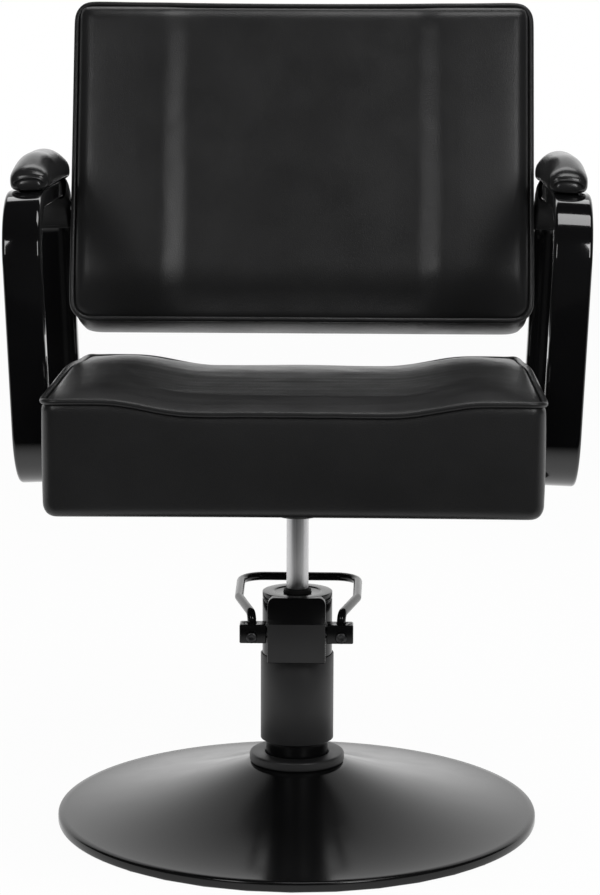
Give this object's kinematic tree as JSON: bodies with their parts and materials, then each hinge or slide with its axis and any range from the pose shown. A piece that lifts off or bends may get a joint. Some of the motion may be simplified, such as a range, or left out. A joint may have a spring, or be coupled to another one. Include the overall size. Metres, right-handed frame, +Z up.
{
  "type": "hairdressing chair",
  "caption": "Hydraulic hairdressing chair with a round trumpet base, foot-pedal pump, upholstered seat and back, and closed-loop arms with pads.",
  "frame": {"origin": "on the floor, on the axis of the pump and of the round base", "axes": "+Z up along the lift rod, -Y towards the front of the seat, +X to the right in a view from the front"},
  "size_m": [0.622, 0.575, 0.8861],
  "materials": {
    "satin_black": "satin",
    "gloss_black": "gloss",
    "leatherette": "satin",
    "bright_steel": "polished",
    "zinc": "satin",
    "plain_steel": "satin",
    "cast_iron": "satin",
    "bronze": "satin",
    "rubber": "matte",
    "plywood": "matte",
    "dust_cloth": "matte"
  },
  "bodies": {
    "base": {"floor_pad": "rubber", "base_plate": "plain_steel", "base_shell": "satin_black", "base_collar": "satin_black", "foot_bolt_1": "zinc", "foot_bolt_2": "zinc", "foot_bolt_3": "zinc", "pump_housing": "cast_iron", "pump_sleeve": "satin_black", "pump_cap": "satin_black", "rod_wiper_seal": "rubber", "rod_guide_bush": "bronze", "main_cylinder": "plain_steel", "foot_valve": "plain_steel", "pump_front_box": "satin_black", "pump_barrel": "plain_steel", "plunger_spring": "bright_steel"},
    "piston": {"piston": "plain_steel", "piston_seal": "rubber"},
    "seat": {"lift_rod": "bright_steel", "seat_mount": "satin_black", "mount_bolt_1": "zinc", "mount_bolt_2": "zinc", "mount_bolt_3": "zinc", "mount_bolt_4": "zinc", "seat_dust_cover": "dust_cloth", "seat_frame": "plywood", "seat_cushion": "leatherette", "seat_welt": "leatherette", "back_cushion": "leatherette", "back_front_welt": "leatherette", "back_rear_welt": "leatherette", "back_frame": "plywood", "back_rear_panel": "leatherette", "arm_frame_left": "gloss_black", "arm_frame_right": "gloss_black", "arm_bolt_seat_front_left": "zinc", "arm_bolt_seat_rear_left": "zinc", "arm_bolt_back_low_left": "zinc", "arm_bolt_back_high_left": "zinc", "arm_bolt_seat_front_right": "zinc", "arm_bolt_seat_rear_right": "zinc", "arm_bolt_back_low_right": "zinc", "arm_bolt_back_high_right": "zinc", "arm_pad_left": "leatherette", "arm_pad_right": "leatherette", "pad_strip_left": "plywood", "pad_strip_right": "plywood", "pad_screw_front_left": "zinc", "pad_screw_rear_left": "zinc", "pad_screw_front_right": "zinc", "pad_screw_rear_right": "zinc"},
    "pedal": {"pedal_shaft": "plain_steel", "pedal_block_left": "satin_black", "pedal_block_right": "satin_black", "pedal_set_screw_left": "zinc", "pedal_set_screw_right": "zinc", "pedal_bar": "satin_black", "pedal_rocker": "plain_steel"},
    "plunger": {"pump_plunger": "bright_steel"}
  },
  "joints": [
    {"name": "lift", "type": "slide", "parent": "base", "child": "piston", "axis": [0, 0, 1], "range_m": [-0.05, 0.1]},
    {"name": "swivel", "type": "hinge", "parent": "piston", "child": "seat", "pos_m": [0, 0, 0.3], "axis": [0, 0, 1], "continuous": true},
    {"name": "pedal", "type": "hinge", "parent": "base", "child": "pedal", "pos_m": [0, -0.0399, 0.2166], "axis": [1, 0, 0], "range_deg": [-25, 0], "stiffness_Nm_per_rad": 3, "springref_deg": 20.05},
    {"name": "plunger", "type": "slide", "parent": "base", "child": "plunger", "axis": [0, 0, 1], "range_m": [-0.0076, 0], "deforming": ["plunger_spring"]}
  ],
  "couplings": [
    {"joint": "plunger", "follows": "pedal", "m_per_rad": 0.0172}
  ]
}
